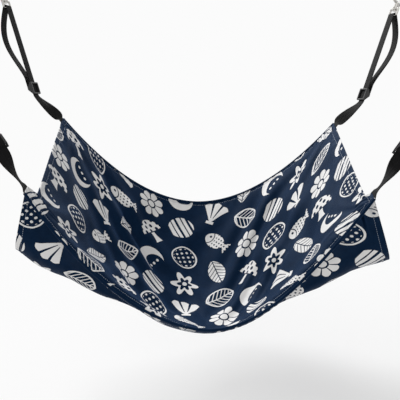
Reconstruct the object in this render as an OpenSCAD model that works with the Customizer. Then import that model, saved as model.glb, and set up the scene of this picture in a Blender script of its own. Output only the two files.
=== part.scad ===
// Sleeve hammock for a cat: a bed panel and a lower panel sewn together along their two long edges and open
// at both ends, hung by four webbing straps, each with a three-bar slider and a swivel snap hook.
// The origin is the middle of the four hanging points, at the level of the bars that the hooks close on.
// +X is to the right, -Y is the front and +Z is up. All lengths are in millimetres.

/* [Sling] */
// Distance between the left and right corners
corner_span = 500; // [450:5:540]
// Distance between the front and back corners
corner_depth = 320; // [290:5:350]
// Sag of the back edge at its middle
back_sag = 168; // [150:1:185]
// Sag of the front edge at its middle
front_sag = 233; // [215:1:245]
// Distance of the front edge's lowest point to the right of the middle
front_apex = 18; // [0:1:30]
// Bulge of the front edge towards the front
front_bulge = 3; // [0:1:12]
// Dip of the bed between its front and back edges
bed_dip = 62; // [50:1:70]
// Height of the diagonal folds that run down from the back corners
fold_h = 7; // [3:0.5:8]
// Height of the roll along the bed's front edge
roll_h = 8; // [4:0.5:10]
// Draw of the bed's left end down from its front corner
left_draw = 10; // [4:1:16]
// Draw of the bed's right end down from its front corner
right_draw = 8; // [4:1:16]
// Gap between the two panels at the middle of the sleeve
sleeve_gap = 12; // [10:1:20]
// Hang of the lower panel below the bed at the left end
left_drop = 128; // [110:1:140]
// Hang of the lower panel below the bed at the right end
right_drop = 137; // [115:1:148]
// Outward flare of the lower panel at the left end
left_flare = 33; // [22:1:45]
// Outward flare of the lower panel at the right end
right_flare = 52; // [30:1:56]
// Bulge of the lower panel beside the front and back seams
shoulder = 14; // [6:1:16]
// Thickness of one panel, two plies of cotton
cloth_t = 1.2; // [1:0.1:1.4]

/* [Webbing] */
// Width of the webbing
web_w = 20; // [18:0.5:22]
// Thickness of the webbing
web_t = 1.4; // [1.2:0.1:1.6]
// Length of webbing sewn in between the panels at a corner
anchor_len = 13; // [10:1:15]
// Place of a front slider from its sewn corner: outwards
front_slider_out = 26; // [20:1:32]
// Place of a front slider from its sewn corner: to the front
front_slider_fore = 16; // [10:1:22]
// Place of a front slider from its sewn corner: up
front_slider_up = 70; // [60:1:80]
// Place of a back slider from its sewn corner: outwards
back_slider_out = 47; // [35:1:52]
// Place of a back slider from its sewn corner: to the back
back_slider_aft = 15; // [10:1:25]
// Place of a back slider from its sewn corner: up
back_slider_up = 51; // [45:1:60]
// Bow of the returning strand away from the running strand
loop_bow = 19; // [10:1:24]
// Length of the folded end above the slider's centre bar
fold_len = 20; // [16:1:24]

/* [Hanging points] */
// Height of the hanging points above the sling's corners
seat_rise = 217; // [200:1:240]
// Distance of the back hanging points from the middle, sideways
back_seat_x = 356; // [330:1:380]
// Distance of the back hanging points behind the middle
back_seat_y = 232; // [200:1:250]
// Distance of the front hanging points from the middle, sideways
front_seat_x = 333; // [320:1:350]
// Distance of the front hanging points in front of the middle
front_seat_y = 200; // [180:1:220]

/* [Slider] */
// Height of the slider along the strap
slider_h = 22; // [20:0.5:24]
// Radius of the slider's bars
slider_bar_r = 1.5; // [1.2:0.1:1.8]
// Thickness of the slider's side rails
rail_t = 3; // [2.4:0.1:3.6]

/* [Snap hook] */
// Radius of the wire of the eye
eye_r = 1.8; // [1.5:0.1:2]
// Height of the eye from its lower bar to its collar's middle
eye_h = 11; // [10:0.5:13]
// Radius of the swivel stem
stem_r = 2.2; // [1.8:0.1:2.4]
// Radius of the bow's inner wall
bow_r = 6.5; // [6:0.25:8]
// Wall of the bow
bow_wall = 4.4; // [3.6:0.1:5]
// Thickness of the bow along the bar that it closes on
bow_t = 5.2; // [4.6:0.1:5.6]
// Length of the shank between the swivel collar and the bow
shank_len = 9; // [8:0.5:12]
// Radius of the rivet that the gate turns on
rivet_r = 1.1; // [0.9:0.05:1.3]

/* [Hidden] */

cloth_colour = [0.10, 0.17, 0.29];
lower_colour = [0.08, 0.14, 0.25];
web_colour = [0.06, 0.06, 0.065];
slider_colour = [0.10, 0.10, 0.11];
metal_colour = [0.74, 0.75, 0.77];
round_faces = 48;
tiny = 0.01;

// Clearances
web_clear = 0.4;
wrap_clear = 0.3;
run_clear = 0.05;
side_clear = 0.3;
front_flex_gap = 0.6;
back_flex_gap = 0.8;
flex_out = 4.6;
join_gap = 0.3;
collar_clear = 0.3;

// Panels: grids over u, from the left end (-1) to the right end (1), and v, from the front seam (0) to the
// back seam (1)
cells_u = 28;
cells_v = 20;
half_span = corner_span / 2;
half_depth = corner_depth / 2;
back_curve = 1.95;
front_curve_left = 2.2;
front_curve_right = 1.55;
dip_curve = 1.3;
dip_peak = 0.42;
draw_curve = 3;
tack_ease = 0.04;
roll_place = 0.10;
roll_width = 0.05;
roll_gain = 2.6;
fold_run = 0.9;
fold_width = 0.07;
fold_valley = 0.6;
fold_spacing = 1.6;
mouth_start = 0.41;
mouth_curve = 1.3;
mouth_boxy = 4.5;
shoulder_place = 0.05;
seam_gap = cloth_t + 0.4;
// The stretch at each corner where the webbing is sewn in and both panels lie together
tack = (web_w - 2.4) / corner_depth;

function mix(a, b, t) = a + (b - a) * t;
function clamp01(t) = min(1, max(0, t));
function smooth(t) = t * t * (3 - 2 * t);
// Half a sine wave over 0 to 1 whose crest lies at the place called peak
function skewed(t, peak) = t <= 0 ? 0 : sin(180 * pow(t, ln(0.5) / ln(peak)));
function bell(t) = exp(-t * t);
// A hump that rises at once from 0 and dies away
function hump(t, place) = t / place * exp(1 - t / place);

function back_edge(u) = [half_span * u, half_depth, -back_sag * (1 - pow(abs(u), back_curve))];
function front_curve(u) = mix(front_curve_left, front_curve_right, (u + 1) / 2);
function front_edge(u) = [
  half_span * u + front_apex * (1 - u * u),
  -half_depth - front_bulge * (1 - u * u),
  -front_sag * (1 - pow(abs(u), front_curve(u)))
];
// The plain dipped surface that both panels start from
function dipped(u, v) = mix(front_edge(u), back_edge(u), v)
  - [0, 0, bed_dip * pow(1 - u * u, dip_curve) * skewed(v, dip_peak)];
function unit(a) = a / norm(a);
function dipped_normal(u, v) = let (h = 0.004) unit(cross(
  dipped(min(1, u + h), v) - dipped(max(-1, u - h), v),
  dipped(u, min(1, v + h)) - dipped(u, max(0, v - h))
));

function roll(u, v) = roll_h * roll_gain * abs(u) * (1 - u * u) * bell((v - roll_place) / roll_width);
function fold_at(u, v) = (v - 1 + fold_run * (1 - abs(u))) / fold_width;
function fold(u, v) = fold_h * 4 * abs(u) * (1 - abs(u))
  * (bell(fold_at(u, v)) - fold_valley * past_tack(v) * bell(fold_at(u, v) - fold_spacing));
// Rises from 0 to 1 beyond the seams' stretch where both panels lie together
function past_tack(v) = smooth(clamp01((min(v, 1 - v) - tack) / tack_ease));
function at_end(u, left, right) = u < 0 ? left : right;
// The bed's own u: its ends stop short of the lower panel's, most of all beside their front corners
function drawn_in(u, v) = let (draw = at_end(u, left_draw, right_draw) / half_span)
  u * (1 - draw * pow(abs(u), draw_curve) * (1 - v) * past_tack(v));

function bed(u, v) = let (w = drawn_in(u, v)) dipped(w, v) + [0, 0, roll(w, v) + fold(w, v)];

function open_end(u) = pow(clamp01((abs(u) - mouth_start) / (1 - mouth_start)), mouth_curve);
// Rounded box section of the open end, clear of the sewn corners
function mouth(v) = let (w = clamp01((v - tack) / (1 - 2 * tack)))
  pow(1 - pow(abs(2 * w - 1), mouth_boxy), 1 / mouth_boxy);
function below_bed(u, v) = sleeve_gap * (1 - open_end(u)) * skewed(v, dip_peak)
  + at_end(u, left_drop, right_drop) * open_end(u) * mouth(v);
function lower(u, v) = dipped(u, v) - seam_gap * dipped_normal(u, v) + [
  at_end(u, -left_flare, right_flare) * open_end(u) * mouth(v),
  shoulder * open_end(u) * (hump(1 - v, shoulder_place) - hump(v, shoulder_place)) * mouth(v),
  -below_bed(u, v)
];

function u_at(i) = 2 * min(cells_u, max(0, i)) / cells_u - 1;
function v_at(j) = (1 - cos(180 * min(cells_v, max(0, j)) / cells_v)) / 2;
function panel_point(which, i, j) = which == 0 ? bed(u_at(i), v_at(j)) : lower(u_at(i), v_at(j));
function panel_normal(which, i, j) = unit(cross(
  panel_point(which, i + 1, j) - panel_point(which, i - 1, j),
  panel_point(which, i, j + 1) - panel_point(which, i, j - 1)
));

// One panel as a closed sheet: the grid moved half a thickness each way along its normals
module panel(which) {
  rows = cells_v + 1;
  count = (cells_u + 1) * rows;
  points = [
    for (side = [0.5, -0.5]) for (i = [0:cells_u]) for (j = [0:cells_v])
      panel_point(which, i, j) + side * cloth_t * panel_normal(which, i, j)
  ];
  function at(i, j) = i * rows + j;
  upper = [
    for (i = [0:cells_u - 1]) for (j = [0:cells_v - 1]) each [
      [at(i, j), at(i, j + 1), at(i + 1, j + 1)],
      [at(i, j), at(i + 1, j + 1), at(i + 1, j)]
    ]
  ];
  under = [for (f = upper) [f[0] + count, f[2] + count, f[1] + count]];
  function rim(a, b) = [[a, b, b + count], [a, b + count, a + count]];
  rims = [
    for (i = [0:cells_u - 1]) each rim(at(i, 0), at(i + 1, 0)),
    for (i = [0:cells_u - 1]) each rim(at(i + 1, cells_v), at(i, cells_v)),
    for (j = [0:cells_v - 1]) each rim(at(0, j + 1), at(0, j)),
    for (j = [0:cells_v - 1]) each rim(at(cells_u, j), at(cells_u, j + 1))
  ];
  translate([0, 0, -seat_rise])
    polyhedron(points = points, faces = concat(upper, under, rims), convexity = 8);
}

// Straps: a corner is named by its end, -1 at the front or 1 at the back, and its side, -1 left or 1 right.
// In a strap's own frame Z runs up the strap through the slider, X across the webbing and Y through it.
// A left corner is worked out mirrored to the right.
tack_inset = web_w / 2 + 1;
function tack_v(end) = end < 0 ? tack_inset / corner_depth : 1 - tack_inset / corner_depth;
function turned(side, a) = [side * a[0], a[1], a[2]];
function seat(end) = end < 0 ? [front_seat_x, -front_seat_y, 0] : [back_seat_x, back_seat_y, 0];
// Middle between the two panels at the end of the seam, and the cloth's normal there
function corner_normal(end, side) = turned(side, dipped_normal(side, tack_v(end)));
function corner_mid(end, side) = turned(side, dipped(side, tack_v(end)))
  - seam_gap / 2 * corner_normal(end, side) - [0, 0, seat_rise];
// A direction laid into the cloth
function in_cloth(end, side, d) = let (n = corner_normal(end, side)) unit(d - (d * n) * n);
// Way from a sewn corner to its slider
function slider_way(end) = end < 0
  ? [front_slider_out, -front_slider_fore, front_slider_up]
  : [back_slider_out, back_slider_aft, back_slider_up];
function lead_len(end) = norm(slider_way(end));
// Line just outside the cloth's end, about which the webbing bends
function flex_point(end, side) = corner_mid(end, side) + flex_out * in_cloth(end, side, slider_way(end));
function flex_axis(end, side) = -end * unit(cross(corner_normal(end, side), slider_way(end)));
function slider_point(end, side) = flex_point(end, side) + slider_way(end);
function strap_run(end, side) = seat(end) - slider_point(end, side);

// Lean, heading and turn of a frame whose Z lies along d, and whose X is as near as can be to a
function lean(d) = atan2(norm([d[0], d[1]]), d[2]);
function heading(d) = atan2(d[1], d[0]);
function roll_to(d, a) = let (h = heading(d), l = lean(d))
  atan2(a * [-sin(h), cos(h), 0], a * [cos(h) * cos(l), sin(h) * cos(l), -sin(l)]);
// Turn of the webbing about the strap from the slider upwards
function strap_roll(end) = end < 0 ? 182 : -130;
// A direction as seen in the strap's own frame
function in_web(end, side, a) =
  let (d = strap_run(end, side), h = heading(d), l = lean(d), r = strap_roll(end),
    down = a * [cos(h) * cos(l), sin(h) * cos(l), -sin(l)], round = a * [-sin(h), cos(h), 0])
  [cos(r) * down + sin(r) * round, cos(r) * round - sin(r) * down, a * unit(d)];

shoulder_h = 1.8;
shoulder_r = stem_r + 2;
hook_reach = eye_h + eye_r + collar_clear + shoulder_h + shank_len + bow_r + bow_wall / 2;
function bar_z(end, side) = lead_len(end) + norm(strap_run(end, side)) - hook_reach;

module along(side, place, d, roll) {
  mirror([side < 0 ? 1 : 0, 0, 0])
    translate(place) rotate([0, lean(d), heading(d)]) rotate([0, 0, roll])
      children();
}

module at_web(end, side) {
  along(side, slider_point(end, side), strap_run(end, side), strap_roll(end))
    translate([0, 0, -lead_len(end)]) children();
}

// A cylinder along X, centred on the origin
module across(r, length) {
  rotate([0, 90, 0]) cylinder(r = r, h = length, center = true, $fn = round_faces);
}

// A flat outline in Y and Z, given as [y, z] points, drawn out along X
module across_outline(outline, length) {
  rotate([90, 0, 90]) translate([0, 0, -length / 2]) linear_extrude(length) polygon(outline);
}

// Half a ring of webbing round the lower side of a bar along X
module web_turn(inner_r) {
  rotate([180, 0, 0]) rotate([90, 0, 90])
    rotate_extrude(angle = 180, $fn = round_faces)
      translate([inner_r, -web_w / 2]) square([web_t, web_w]);
}

function lead_end(end) = lead_len(end) - slider_h / 2 - 1;
wrap_r = eye_r + wrap_clear;
wrap_mid = wrap_r + web_t / 2;
return_top_y = 2 * wrap_mid;

// Webbing end sewn in between the panels
module anchor(end, side) {
  whole = anchor_len + flex_out;
  d = in_cloth(end, side, slider_way(end));
  color(web_colour) along(side, flex_point(end, side), d, roll_to(d, flex_axis(end, side)))
    translate([-web_w / 2, -web_t / 2, -whole]) cube([web_w, web_t, whole - flex_gap(end) / 2]);
}

// Running strap, as stations of [middle, across, through] in the strap's own frame: the lead from the corner,
// bent below the slider and turned on its way, the straight stretch and the turn round the eye's bar
lead_steps = 20;
lead_bend = 8;
turn_steps = 14;
function lead_turn(end) = end < 0 ? -28 : 45;
function flex_gap(end) = end < 0 ? front_flex_gap : back_flex_gap;
function lead_hold(end, side) =
  let (start = [0, 0, lead_len(end)] - in_web(end, side, slider_way(end)), last = [0, 0, lead_end(end)],
    first = start + flex_gap(end) * unit(last - start))
  [first, (first + last) / 2, last - [0, 0, lead_bend], last];
function bezier(p, t) = pow(1 - t, 3) * p[0] + 3 * t * pow(1 - t, 2) * p[1]
  + 3 * t * t * (1 - t) * p[2] + pow(t, 3) * p[3];
function bezier_way(p, t) = unit(pow(1 - t, 2) * (p[1] - p[0]) + 2 * t * (1 - t) * (p[2] - p[1])
  + t * t * (p[3] - p[2]));
function lead_station(hold, first_across, turn, t) =
  let (way = bezier_way(hold, t), lain = mix(first_across, [1, 0, 0], smooth(t)),
    square = unit(lain - (lain * way) * way), a = turn * pow(sin(180 * pow(t, 0.6)), 2),
    across = cos(a) * square + sin(a) * cross(way, square))
  [bezier(hold, t), across, cross(way, across)];
function turn_station(top, a) =
  [[0, wrap_mid * (1 - cos(a)), top + wrap_mid * sin(a)], [1, 0, 0], [0, cos(a), -sin(a)]];
function strap_stations(end, side) =
  let (hold = lead_hold(end, side), first_across = in_web(end, side, flex_axis(end, side)))
  concat(
    [for (k = [0:lead_steps]) lead_station(hold, first_across, lead_turn(end), k / lead_steps)],
    [for (k = [0:turn_steps]) turn_station(bar_z(end, side), 180 * k / turn_steps)]
  );

// Webbing laid along a row of stations
module web_along(stations) {
  last = len(stations) - 1;
  section = [[-1, -1], [1, -1], [1, 1], [-1, 1]];
  points = [
    for (s = stations) for (q = section) s[0] + q[0] * web_w / 2 * s[1] + q[1] * web_t / 2 * s[2]
  ];
  sides = [
    for (k = [0:last - 1]) for (e = [0:3]) let (a = 4 * k + e, b = 4 * k + (e + 1) % 4)
      each [[a, a + 4, b + 4], [a, b + 4, b]]
  ];
  caps = [[0, 1, 2, 3], [4 * last + 3, 4 * last + 2, 4 * last + 1, 4 * last]];
  polyhedron(points = points, faces = concat(sides, caps), convexity = 6);
}

module strap(end, side) {
  color(web_colour) at_web(end, side) web_along(strap_stations(end, side));
}

// Slider: two outer bars before the running strap, a centre bar behind it and two side rails
fold_clear = 0.2;
outer_bar_y = -web_t / 2 - web_clear - slider_bar_r;
centre_bar_y = web_t / 2 + web_clear + web_t + fold_clear + slider_bar_r;
outer_bar_z = slider_h / 2 - slider_bar_r;
rail_x = web_w / 2 + side_clear + rail_t / 2;
bar_len = 2 * rail_x;

module slider(end, side) {
  low_y = outer_bar_y - slider_bar_r;
  high_y = centre_bar_y + slider_bar_r;
  crest = slider_bar_r * 2;
  color(slider_colour) at_web(end, side) translate([0, 0, lead_len(end)]) {
    for (z = [-outer_bar_z, outer_bar_z]) translate([0, outer_bar_y, z]) across(slider_bar_r, bar_len);
    translate([0, centre_bar_y, 0]) across(slider_bar_r, bar_len);
    for (x = [-rail_x, rail_x]) translate([x, 0, 0]) across_outline([
      [low_y, -slider_h / 2 + 1], [low_y + 1, -slider_h / 2], [outer_bar_y + slider_bar_r, -slider_h / 2],
      [high_y - 1, -crest], [high_y, -crest + 1],
      [high_y, crest - 1], [high_y - 1, crest],
      [outer_bar_y + slider_bar_r, slider_h / 2], [low_y + 1, slider_h / 2], [low_y, slider_h / 2 - 1]
    ], rail_t);
  }
}

// Folded end: round the centre bar, then both plies sewn flat above it
fold_mid = slider_bar_r + fold_clear + web_t / 2;
fold_join = 9;
module fold_end(end, side) {
  near_y = centre_bar_y - fold_mid;
  far_y = centre_bar_y + fold_mid;
  color(web_colour) at_web(end, side) translate([0, 0, lead_len(end)]) {
    translate([0, centre_bar_y, 0]) web_turn(slider_bar_r + fold_clear);
    across_outline([
      [near_y - web_t / 2, 0], [near_y + web_t / 2, 0],
      [far_y - web_t / 2, fold_join], [far_y - web_t / 2, fold_len - 2],
      [far_y - web_t * 3 / 2, fold_len - 2], [far_y - web_t * 3 / 2, fold_join]
    ], web_w);
    across_outline([
      [far_y - web_t / 2, 0], [far_y + web_t / 2, 0],
      [far_y + web_t / 2, fold_len], [far_y - web_t / 2, fold_len]
    ], web_w);
  }
}

// Returning strand: from the eye down to the folded end, bowed out
return_steps = 16;
function return_y(t) = mix(centre_bar_y + fold_mid, return_top_y, t) + loop_bow * skewed(t, 0.58);
module return_strand(end, side) {
  low = lead_len(end) + fold_len + join_gap;
  top = bar_z(end, side);
  function strand(y, t) = [return_y(t) + y, mix(low, top, t)];
  near = [for (k = [0:return_steps]) strand(-web_t / 2, k / return_steps)];
  far = [for (k = [return_steps:-1:0]) strand(web_t / 2, k / return_steps)];
  color(web_colour) at_web(end, side) across_outline(concat(near, far), web_w);
}

// Eye of the hook: a wire frame round the strap's turn, with a collar for the swivel stem
eye_half = web_w / 2 + side_clear * 4 + eye_r;
collar_r = stem_r + 2.4;
module at_eye(end, side) {
  at_web(end, side) translate([0, wrap_mid, bar_z(end, side)]) children();
}

module eye(end, side) {
  color(metal_colour) at_eye(end, side) difference() {
    union() {
      across(eye_r, 2 * eye_half);
      translate([0, 0, eye_h]) across(eye_r, 2 * eye_half);
      for (x = [-eye_half, eye_half]) {
        translate([x, 0, 0]) cylinder(r = eye_r, h = eye_h, $fn = round_faces);
        for (z = [0, eye_h]) translate([x, 0, z]) sphere(r = eye_r, $fn = round_faces);
      }
      translate([0, 0, eye_h - eye_r]) cylinder(r = collar_r, h = 2 * eye_r, $fn = round_faces);
    }
    translate([0, 0, eye_h - 2 * eye_r])
      cylinder(r = stem_r + run_clear, h = 4 * eye_r, $fn = round_faces);
  }
}

// Hook body: stem with a head under the collar, shank, fork for the gate and an open bow
bow_mid = bow_r + bow_wall / 2;
bow_out = bow_r + bow_wall;
mouth_angle = 20;
head_h = 1.5;
shank_half = 3;
gate_t = 2.4;
spring_t = 1;
cheek_t = 1.1;
cheek_gap = 0.1;
fork_half = (gate_t + spring_t) / 2 + 1.5 * cheek_gap;
pivot_y = bow_mid * 0.7;
pivot_z = -bow_mid - shank_len / 3;
boss_r = rivet_r + 1.5;
cheek_r = boss_r + 0.2;
bow_edge = 1.2;

module at_bow(end, side) {
  at_eye(end, side) translate([0, 0, hook_reach]) children();
}

module hook(end, side) {
  stem_low = -hook_reach + eye_h - eye_r - collar_clear;
  stem_top = -hook_reach + eye_h + eye_r + collar_clear;
  shank_top = -bow_mid;
  color(metal_colour) at_bow(end, side) difference() {
    union() {
      translate([0, 0, stem_low - head_h]) cylinder(r = shoulder_r, h = head_h, $fn = round_faces);
      translate([0, 0, stem_low - tiny])
        cylinder(r = stem_r, h = stem_top - stem_low + 2 * tiny, $fn = round_faces);
      translate([0, 0, stem_top]) cylinder(r = shoulder_r, h = shoulder_h, $fn = round_faces);
      translate([0, 0, stem_top + shoulder_h - tiny])
        cylinder(r = shank_half, h = shank_top - stem_top - shoulder_h, $fn = round_faces);
      rotate([90, 0, 90]) rotate([0, 0, mouth_angle])
        rotate_extrude(angle = 270 - mouth_angle, $fn = 2 * round_faces) polygon([
          [bow_r, -bow_t / 2 + bow_edge], [bow_r, bow_t / 2 - bow_edge],
          [bow_r + bow_edge, bow_t / 2], [bow_out - bow_edge, bow_t / 2],
          [bow_out, bow_t / 2 - bow_edge], [bow_out, -bow_t / 2 + bow_edge],
          [bow_out - bow_edge, -bow_t / 2], [bow_r + bow_edge, -bow_t / 2]
        ]);
      for (x = [-fork_half - cheek_t, fork_half]) {
        translate([x, pivot_y, pivot_z]) rotate([0, 90, 0])
          cylinder(r = cheek_r, h = cheek_t, $fn = round_faces);
        translate([x, 0, pivot_z - cheek_r]) cube([cheek_t, pivot_y, 2 * cheek_r]);
      }
    }
    translate([0, pivot_y, pivot_z]) across(rivet_r + run_clear, 4 * fork_half);
    translate([-fork_half, pivot_y - cheek_r - cheek_gap, pivot_z - 2 * cheek_r])
      cube([2 * fork_half, 4 * cheek_r, 6 * cheek_r]);
  }
}

// Gate: a boss on the rivet, an arm and a rounded tip that meets the bow's end from inside
gate_half = 1.4;
tip_y = bow_mid * cos(mouth_angle) + 0.1;
tip_clear = 0.5;
tip_z = bow_r * sin(mouth_angle) - gate_half - tip_clear;
gate_x = -fork_half + cheek_gap + gate_t / 2;
module gate(end, side) {
  arm = [tip_y - pivot_y, tip_z - pivot_z];
  slope = atan2(arm[0], arm[1]);
  color(metal_colour) at_bow(end, side) translate([gate_x, pivot_y, pivot_z]) difference() {
    union() {
      across(boss_r, gate_t);
      rotate([-slope, 0, 0]) {
        translate([-gate_t / 2, -gate_half, 0]) cube([gate_t, 2 * gate_half, norm(arm)]);
        translate([0, 0, norm(arm)]) across(gate_half, gate_t);
      }
    }
    across(rivet_r + run_clear, 2 * gate_t);
  }
}

// Spring: a small closed coil on the rivet beside the gate
spring_x = gate_x + gate_t / 2 + cheek_gap + spring_t / 2;
module spring(end, side) {
  color(metal_colour) at_bow(end, side) translate([spring_x, pivot_y, pivot_z]) difference() {
    across(boss_r - 0.3, spring_t);
    across(rivet_r + run_clear, 2 * spring_t);
  }
}

// Rivet: a plain pin with two domed heads outside the fork
rivet_head_h = 0.8;
module rivet(end, side) {
  outer = fork_half + cheek_t;
  color(metal_colour) at_bow(end, side) translate([0, pivot_y, pivot_z]) {
    across(rivet_r, 2 * outer);
    for (x = [-outer - rivet_head_h / 2, outer + rivet_head_h / 2])
      translate([x, 0, 0]) across(rivet_r + 0.9, rivet_head_h);
  }
}

module top_panel() { color(cloth_colour) panel(0); }
module bottom_panel() { color(lower_colour) panel(1); }

top_panel();
bottom_panel();
anchor(-1, -1);  // anchor_front_left
anchor(-1, 1);  // anchor_front_right
anchor(1, -1);  // anchor_back_left
anchor(1, 1);  // anchor_back_right
strap(-1, -1);  // strap_front_left
strap(-1, 1);  // strap_front_right
strap(1, -1);  // strap_back_left
strap(1, 1);  // strap_back_right
return_strand(-1, -1);  // return_front_left
return_strand(-1, 1);  // return_front_right
return_strand(1, -1);  // return_back_left
return_strand(1, 1);  // return_back_right
slider(-1, -1);  // slider_front_left
slider(-1, 1);  // slider_front_right
slider(1, -1);  // slider_back_left
slider(1, 1);  // slider_back_right
fold_end(-1, -1);  // fold_front_left
fold_end(-1, 1);  // fold_front_right
fold_end(1, -1);  // fold_back_left
fold_end(1, 1);  // fold_back_right
eye(-1, -1);  // eye_front_left
eye(-1, 1);  // eye_front_right
eye(1, -1);  // eye_back_left
eye(1, 1);  // eye_back_right
hook(-1, -1);  // hook_front_left
hook(-1, 1);  // hook_front_right
hook(1, -1);  // hook_back_left
hook(1, 1);  // hook_back_right
gate(-1, -1);  // gate_front_left
gate(-1, 1);  // gate_front_right
gate(1, -1);  // gate_back_left
gate(1, 1);  // gate_back_right
spring(-1, -1);  // spring_front_left
spring(-1, 1);  // spring_front_right
spring(1, -1);  // spring_back_left
spring(1, 1);  // spring_back_right
rivet(-1, -1);  // rivet_front_left
rivet(-1, 1);  // rivet_front_right
rivet(1, -1);  // rivet_back_left
rivet(1, 1);  // rivet_back_right
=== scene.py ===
"""Dresses a hanging cat hammock: a printed cotton sleeve on four webbing straps with sliders and snap hooks.

All lengths are in metres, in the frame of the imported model: +X to the right, -Y to the front, +Z up, and the origin
in the middle of the four hanging points. Shapes are surfaces over two parameters, worked out as whole numpy arrays.
"""

import logging
import math
import operator
from dataclasses import dataclass
from enum import Enum
from functools import partialmethod, reduce
from typing import Callable, Sequence

import bpy
import numpy as np
from mathutils import Matrix, Vector


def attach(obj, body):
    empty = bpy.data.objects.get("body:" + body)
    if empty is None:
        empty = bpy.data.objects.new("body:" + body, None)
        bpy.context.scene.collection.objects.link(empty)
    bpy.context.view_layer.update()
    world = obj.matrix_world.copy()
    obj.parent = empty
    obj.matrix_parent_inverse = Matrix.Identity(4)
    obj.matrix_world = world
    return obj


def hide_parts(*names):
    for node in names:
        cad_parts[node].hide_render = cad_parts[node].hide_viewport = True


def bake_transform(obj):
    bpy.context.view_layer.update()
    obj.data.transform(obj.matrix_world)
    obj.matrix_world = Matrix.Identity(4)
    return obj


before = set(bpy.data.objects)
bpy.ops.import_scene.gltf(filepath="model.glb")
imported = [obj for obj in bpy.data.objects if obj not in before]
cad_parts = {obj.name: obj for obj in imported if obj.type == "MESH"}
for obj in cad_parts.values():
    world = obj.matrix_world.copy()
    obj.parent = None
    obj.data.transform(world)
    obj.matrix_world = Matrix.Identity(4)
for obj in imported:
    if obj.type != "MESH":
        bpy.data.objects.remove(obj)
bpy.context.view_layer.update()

Array = np.ndarray
Material = bpy.types.Material
Node = bpy.types.Node
Piece = bpy.types.Object
Socket = bpy.types.NodeSocket
Tree = bpy.types.NodeTree
Wardrobe = dict[str, Material]
FULL_TURN = 2.0 * math.pi
UP = np.array([0.0, 0.0, 1.0])
ACROSS = np.array([1.0, 0.0, 0.0])
log = logging.getLogger("hammock")


class End(Enum):
    """Front or back end of the strap pair, as the sign of Y."""

    FRONT = -1
    BACK = 1


class Side(Enum):
    """Left or right side of the hammock, as the sign of X."""

    LEFT = -1
    RIGHT = 1


# Numbers and grids


def smooth_step(t: Array) -> Array:
    """Rises from 0 to 1 with level ends as t goes from 0 to 1."""
    t = np.clip(t, 0.0, 1.0)
    return t * t * (3.0 - 2.0 * t)


def skewed_sine(t: Array, peak: float) -> Array:
    """Half a sine wave over 0 to 1 whose crest lies at peak."""
    return np.sin(np.pi * np.power(np.clip(t, 0.0, 1.0), math.log(0.5) / math.log(peak)))


def bell(t: Array) -> Array:
    """Gives the bell curve exp(-t squared)."""
    return np.exp(-t * t)


def hump(t: Array, place: float) -> Array:
    """Rises at once from 0 to 1 at place and then dies away."""
    return t / place * np.exp(1.0 - t / place)


def spread(count: int, ease: float) -> Array:
    """Spaces numbers over 0 to 1: evenly where ease is 0, by a full cosine, closest at both ends, where it is 1."""
    even = np.linspace(0.0, 1.0, count)
    return (1.0 - ease) * even + ease * 0.5 * (1.0 - np.cos(np.pi * even))


def stacked(*parts: "Array | float") -> Array:
    """Stacks coordinates, each an array or one number for all, along a new last axis."""
    return np.stack(np.broadcast_arrays(*parts), axis=-1)


def unit(vectors: Array) -> Array:
    """Scales vectors along the last axis to length one."""
    return vectors / np.maximum(np.linalg.norm(vectors, axis=-1, keepdims=True), 1e-12)


def headings(line: Array) -> Array:
    """Gives the unit directions along a line of points."""
    return unit(np.gradient(line, axis=0))


def grid_normals(points: Array) -> Array:
    """Gives the unit normals of a grid of points, from the cross product of its two differences."""
    return unit(np.cross(np.gradient(points, axis=0), np.gradient(points, axis=1)))


def arc_lengths(points: Array, axis: int) -> Array:
    """Adds up the distances between neighbours along one axis of a grid, from 0 at its start."""
    steps = np.diff(points, axis=axis, prepend=np.take(points, [0], axis=axis))
    return np.cumsum(np.linalg.norm(steps, axis=-1), axis=axis)


def grid_quads(rows: int, columns: int, wrap: bool = False) -> Array:
    """Lists the quads of a grid of points that are numbered row by row.

    Args:
        rows: Points along the first parameter.
        columns: Points along the second parameter.
        wrap: Whether the last column joins the first.

    Returns:
        One row of four point numbers per quad.
    """
    number = np.arange(rows * columns).reshape(rows, columns)
    right = np.roll(number, -1, axis=1)
    quads = stacked(number[:-1], number[1:], right[1:], right[:-1])
    return (quads if wrap else quads[:, :-1]).reshape(-1, 4)


def make_piece(name: str, points: Array, faces: Sequence, uv: Array | None = None) -> Piece:
    """Puts points and faces into a new smooth mesh object at the origin.

    Args:
        name: The piece's name.
        points: Points along the last axis.
        faces: Lists of point numbers.
        uv: Two surface coordinates per point, or None.

    Returns:
        The new object, linked to the scene.
    """
    mesh = bpy.data.meshes.new(name)
    mesh.from_pydata(points.reshape(-1, 3).tolist(), [], [list(map(int, face)) for face in faces])
    mesh.polygons.foreach_set("use_smooth", np.ones(len(mesh.polygons), dtype=bool))
    if uv is not None:
        corner = np.empty(len(mesh.loops), dtype=np.int32)
        mesh.loops.foreach_get("vertex_index", corner)
        layer = mesh.uv_layers.new(name="Surface")
        layer.data.foreach_set("uv", uv.reshape(-1, 2)[corner].astype(np.float32).ravel())
    mesh.update()
    piece = bpy.data.objects.new(name, mesh)
    bpy.context.scene.collection.objects.link(piece)
    return piece


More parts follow.
